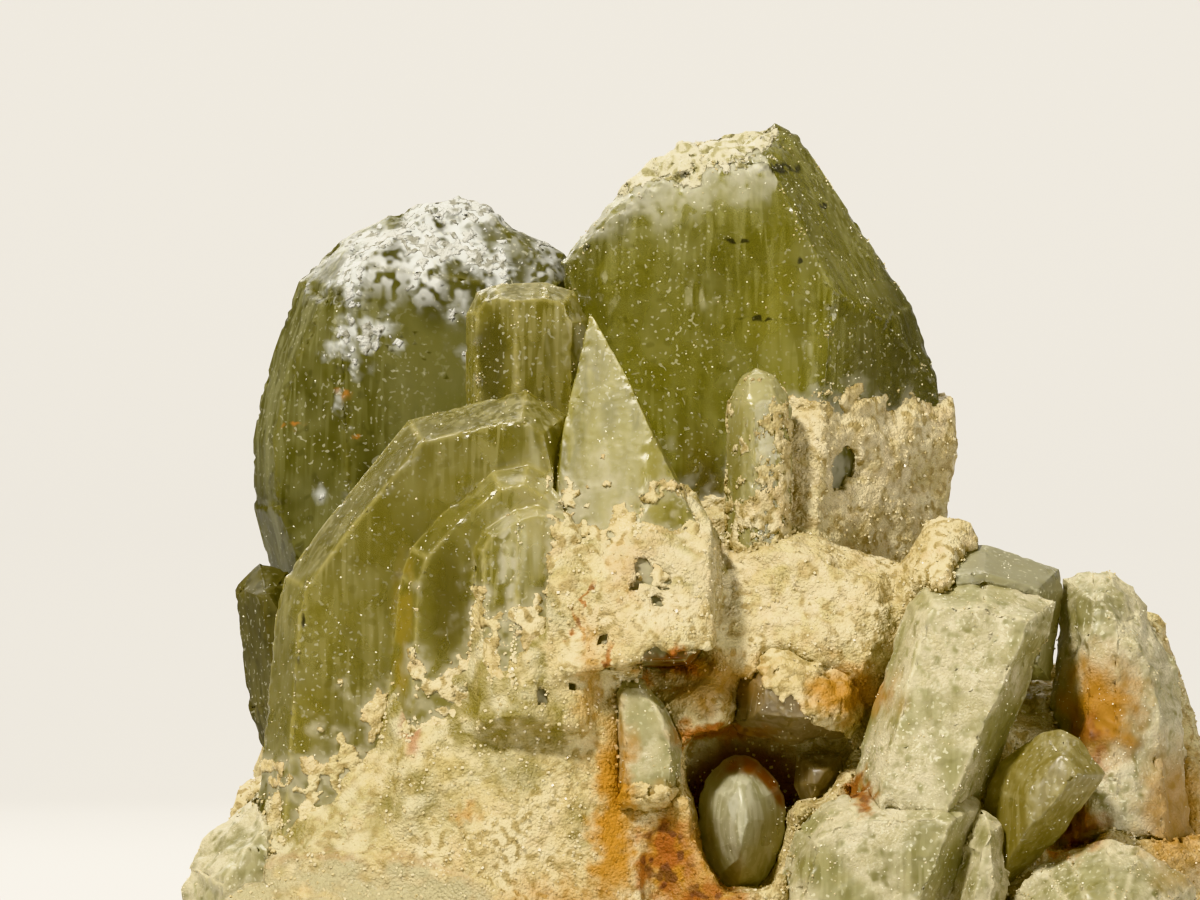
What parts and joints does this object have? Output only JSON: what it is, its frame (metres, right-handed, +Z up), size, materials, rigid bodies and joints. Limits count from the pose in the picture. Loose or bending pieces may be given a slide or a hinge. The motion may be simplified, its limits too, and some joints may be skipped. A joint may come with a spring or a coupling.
{
  "type": "brazilianite crystal specimen on matrix",
  "caption": "Hand specimen of brazilianite: broad olive-yellow translucent crystals and pale blocky ones on a cream sugary matrix with a small vug, sawn flat below to stand upright.",
  "frame": {"origin": "middle of the specimen's bounding box at the flat base it was sawn to", "axes": "+Z up, -Y towards the side with the broad crystal faces, +X to its right as seen from in front"},
  "size_m": [0.1072, 0.0576, 0.0889],
  "materials": {
    "matrix": "rough, sugary, with iron stain",
    "olive_crystal": "vitreous, translucent, silky inside",
    "dark_crystal": "vitreous, with powdery frost",
    "pale_crystal": "milky, with a broken white rind",
    "clear_crystal": "clear to greyish, vitreous",
    "smoky_crystal": "smoky, vitreous"
  },
  "bodies": {
    "root": {"matrix": "matrix", "tall_crystal": "olive_crystal", "back_left_crystal": "dark_crystal", "front_blades": "olive_crystal", "centre_crystal": "olive_crystal", "small_prism": "olive_crystal", "edge_crystal": "dark_crystal", "side_crystal": "pale_crystal", "lower_block": "pale_crystal", "grey_crystal": "clear_crystal", "far_right_crystal": "pale_crystal", "stub_crystal": "pale_crystal", "corner_crystal": "pale_crystal", "sliver_crystal": "pale_crystal", "column_crystal": "pale_crystal", "pocket_crystal": "clear_crystal", "smoky_crystal_upper": "smoky_crystal", "smoky_crystal_lower": "smoky_crystal", "low_left_block": "pale_crystal"}
  },
  "joints": []
}
